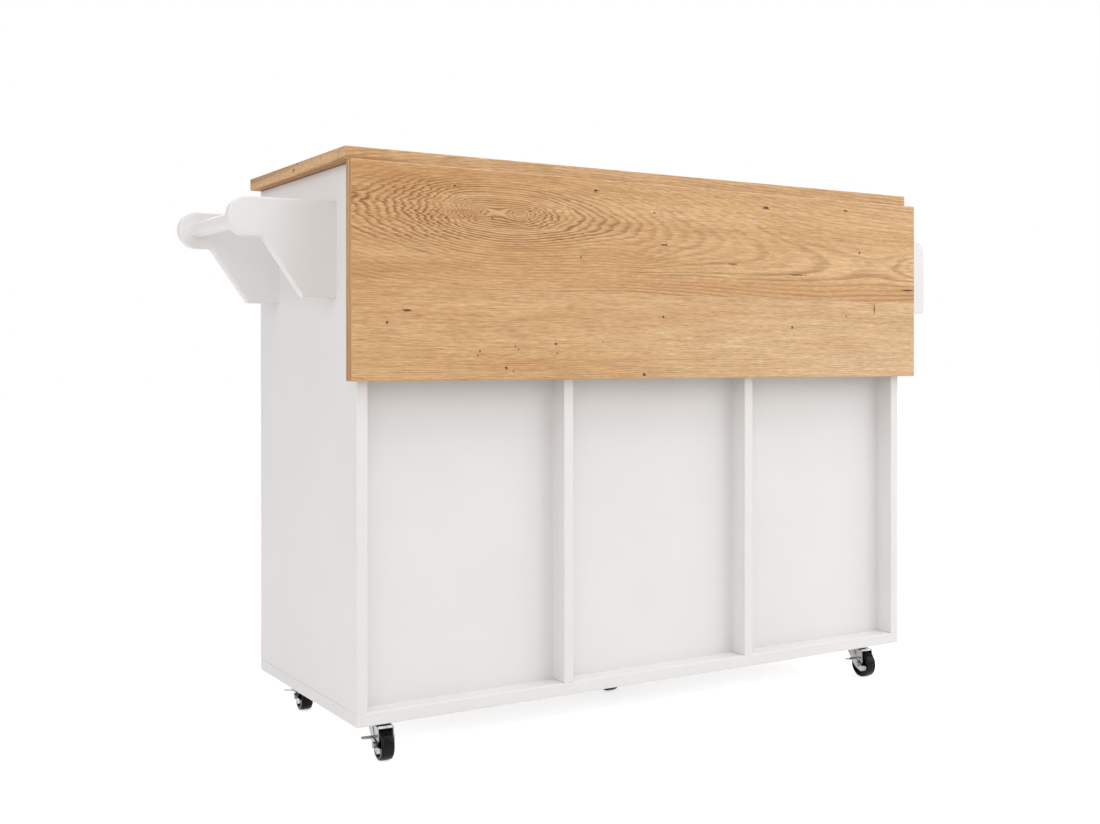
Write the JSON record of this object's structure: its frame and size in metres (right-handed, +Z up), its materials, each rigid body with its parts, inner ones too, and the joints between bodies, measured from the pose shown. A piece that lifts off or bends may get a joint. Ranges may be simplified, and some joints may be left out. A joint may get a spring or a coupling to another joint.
{
  "type": "rolling kitchen island",
  "caption": "White rolling kitchen island with oak-look worktop, hinged drop leaf, drawers, cupboards, open bay, towel rack, spice rack and braked casters.",
  "frame": {"origin": "on the floor under the centre of the whole island with the leaf hanging", "axes": "+X along the island to the towel rack, +Y to the back with the drop leaf, +Z up"},
  "size_m": [1.468, 0.479, 0.93],
  "materials": {
    "white_board": "satin white paint on board",
    "oak_board": "satin oak-look board",
    "zinc_steel": "zinc plated",
    "bright_steel": "bright plated pressed steel",
    "black_steel": "black coated",
    "black_wheel": "glossy black",
    "brushed_nickel": "brushed nickel",
    "white_plastic": "moulded white plastic"
  },
  "bodies": {
    "cabinet": {"base_board": "white_board", "side_panel_left": "white_board", "side_panel_right": "white_board", "partition_left": "white_board", "partition_right": "white_board", "back_panels": "white_board", "worktop": "oak_board", "top_stretchers": "white_board", "drawer_dividers": "white_board", "shelves": "white_board", "shelf_pins": "zinc_steel", "towel_bracket_front": "white_board", "towel_bracket_rear": "white_board", "towel_bar": "white_board", "spice_rack_end_front": "white_board", "spice_rack_end_rear": "white_board", "spice_rack_floor": "white_board", "spice_rack_rail": "white_board", "caster_plates": "black_steel", "caster_screws": "zinc_steel", "assembly_screws": "zinc_steel", "leaf_hinge_plates": "zinc_steel", "leaf_stay_tracks": "zinc_steel", "drawer_runner_channels": "zinc_steel", "door_hinge_plates": "zinc_steel", "door_catches": "white_plastic"},
    "leaf": {"drop_leaf": "oak_board", "leaf_hinge_flaps": "zinc_steel", "leaf_stay_lugs": "zinc_steel", "leaf_screws": "zinc_steel"},
    "stay_left": {"leaf_stay_left": "zinc_steel"},
    "stay_right": {"leaf_stay_right": "zinc_steel"},
    "drawer_left": {"drawer_front_left": "white_board", "drawer_box_left": "white_board", "drawer_pull_left": "brushed_nickel", "drawer_slides_left": "zinc_steel"},
    "drawer_right": {"drawer_front_right": "white_board", "drawer_box_right": "white_board", "drawer_pull_right": "brushed_nickel", "drawer_slides_right": "zinc_steel"},
    "door_left": {"door_left": "white_board", "door_pull_left": "brushed_nickel", "door_fittings_left": "zinc_steel"},
    "door_right": {"door_right": "white_board", "door_pull_right": "brushed_nickel", "door_fittings_right": "zinc_steel"},
    "caster_rear_left": {"caster_fork_rear_left": "bright_steel"},
    "wheel_rear_left": {"caster_wheel_rear_left": "black_wheel"},
    "brake_rear_left": {"caster_brake_rear_left": "bright_steel"},
    "caster_rear_right": {"caster_fork_rear_right": "bright_steel"},
    "wheel_rear_right": {"caster_wheel_rear_right": "black_wheel"},
    "brake_rear_right": {"caster_brake_rear_right": "bright_steel"},
    "caster_front_left": {"caster_fork_front_left": "bright_steel"},
    "wheel_front_left": {"caster_wheel_front_left": "black_wheel"},
    "brake_front_left": {"caster_brake_front_left": "bright_steel"},
    "caster_front_right": {"caster_fork_front_right": "bright_steel"},
    "wheel_front_right": {"caster_wheel_front_right": "black_wheel"},
    "brake_front_right": {"caster_brake_front_right": "bright_steel"},
    "caster_centre": {"caster_fork_centre": "bright_steel"},
    "wheel_centre": {"caster_wheel_centre": "black_wheel"}
  },
  "joints": [
    {"name": "leaf_hinge", "type": "hinge", "parent": "cabinet", "child": "leaf", "pos_m": [0, 0.2169, 0.9074], "axis": [1, 0, 0], "range_deg": [0, 90]},
    {"name": "leaf_stay_pivot_left", "type": "hinge", "parent": "leaf", "child": "stay_left", "pos_m": [-0.2045, 0.203, 0.7974], "axis": [1, 0, 0], "range_deg": [-132.5, 0]},
    {"name": "leaf_stay_pivot_right", "type": "hinge", "parent": "leaf", "child": "stay_right", "pos_m": [0.2045, 0.203, 0.7974], "axis": [1, 0, 0], "range_deg": [-132.5, 0]},
    {"name": "drawer_slide_left", "type": "slide", "parent": "cabinet", "child": "drawer_left", "axis": [0, -1, 0], "range_m": [0, 0.26]},
    {"name": "drawer_slide_right", "type": "slide", "parent": "cabinet", "child": "drawer_right", "axis": [0, -1, 0], "range_m": [0, 0.26]},
    {"name": "door_hinge_left", "type": "hinge", "parent": "cabinet", "child": "door_left", "pos_m": [-0.5445, -0.2182, 0.401], "axis": [0, 0, -1], "range_deg": [0, 165]},
    {"name": "door_hinge_right", "type": "hinge", "parent": "cabinet", "child": "door_right", "pos_m": [0.5445, -0.2182, 0.401], "axis": [0, 0, 1], "range_deg": [0, 165]},
    {"name": "caster_swivel_rear_left", "type": "hinge", "parent": "cabinet", "child": "caster_rear_left", "pos_m": [-0.505, 0.169, 0.058], "axis": [0, 0, 1], "continuous": true},
    {"name": "wheel_spin_rear_left", "type": "hinge", "parent": "caster_rear_left", "child": "wheel_rear_left", "pos_m": [-0.50369, 0.18394, 0.025], "axis": [0.9962, -0.0872, 0], "continuous": true},
    {"name": "brake_pivot_rear_left", "type": "hinge", "parent": "caster_rear_left", "child": "brake_rear_left", "pos_m": [-0.50369, 0.18394, 0.025], "axis": [0.9962, -0.0872, 0], "range_deg": [0, 25]},
    {"name": "caster_swivel_rear_right", "type": "hinge", "parent": "cabinet", "child": "caster_rear_right", "pos_m": [0.505, 0.169, 0.058], "axis": [0, 0, 1], "continuous": true},
    {"name": "wheel_spin_rear_right", "type": "hinge", "parent": "caster_rear_right", "child": "wheel_rear_right", "pos_m": [0.50631, 0.18394, 0.025], "axis": [0.9962, -0.0872, 0], "continuous": true},
    {"name": "brake_pivot_rear_right", "type": "hinge", "parent": "caster_rear_right", "child": "brake_rear_right", "pos_m": [0.50631, 0.18394, 0.025], "axis": [0.9962, -0.0872, 0], "range_deg": [0, 25]},
    {"name": "caster_swivel_front_left", "type": "hinge", "parent": "cabinet", "child": "caster_front_left", "pos_m": [-0.505, -0.169, 0.058], "axis": [0, 0, 1], "continuous": true},
    {"name": "wheel_spin_front_left", "type": "hinge", "parent": "caster_front_left", "child": "wheel_front_left", "pos_m": [-0.50369, -0.15406, 0.025], "axis": [0.9962, -0.0872, 0], "continuous": true},
    {"name": "brake_pivot_front_left", "type": "hinge", "parent": "caster_front_left", "child": "brake_front_left", "pos_m": [-0.50369, -0.15406, 0.025], "axis": [0.9962, -0.0872, 0], "range_deg": [0, 25]},
    {"name": "caster_swivel_front_right", "type": "hinge", "parent": "cabinet", "child": "caster_front_right", "pos_m": [0.505, -0.169, 0.058], "axis": [0, 0, 1], "continuous": true},
    {"name": "wheel_spin_front_right", "type": "hinge", "parent": "caster_front_right", "child": "wheel_front_right", "pos_m": [0.50631, -0.15406, 0.025], "axis": [0.9962, -0.0872, 0], "continuous": true},
    {"name": "brake_pivot_front_right", "type": "hinge", "parent": "caster_front_right", "child": "brake_front_right", "pos_m": [0.50631, -0.15406, 0.025], "axis": [0.9962, -0.0872, 0], "range_deg": [0, 25]},
    {"name": "caster_swivel_centre", "type": "hinge", "parent": "cabinet", "child": "caster_centre", "pos_m": [-0.024, 0, 0.058], "axis": [0, 0, 1], "continuous": true},
    {"name": "wheel_spin_centre", "type": "hinge", "parent": "caster_centre", "child": "wheel_centre", "pos_m": [-0.02269, 0.01494, 0.025], "axis": [0.9962, -0.0872, 0], "continuous": true}
  ],
  "couplings": [
    {"joint": "leaf_stay_pivot_left", "follows": "leaf_hinge", "ratio": -1.4672},
    {"joint": "leaf_stay_pivot_right", "follows": "leaf_hinge", "ratio": -1.4672}
  ]
}
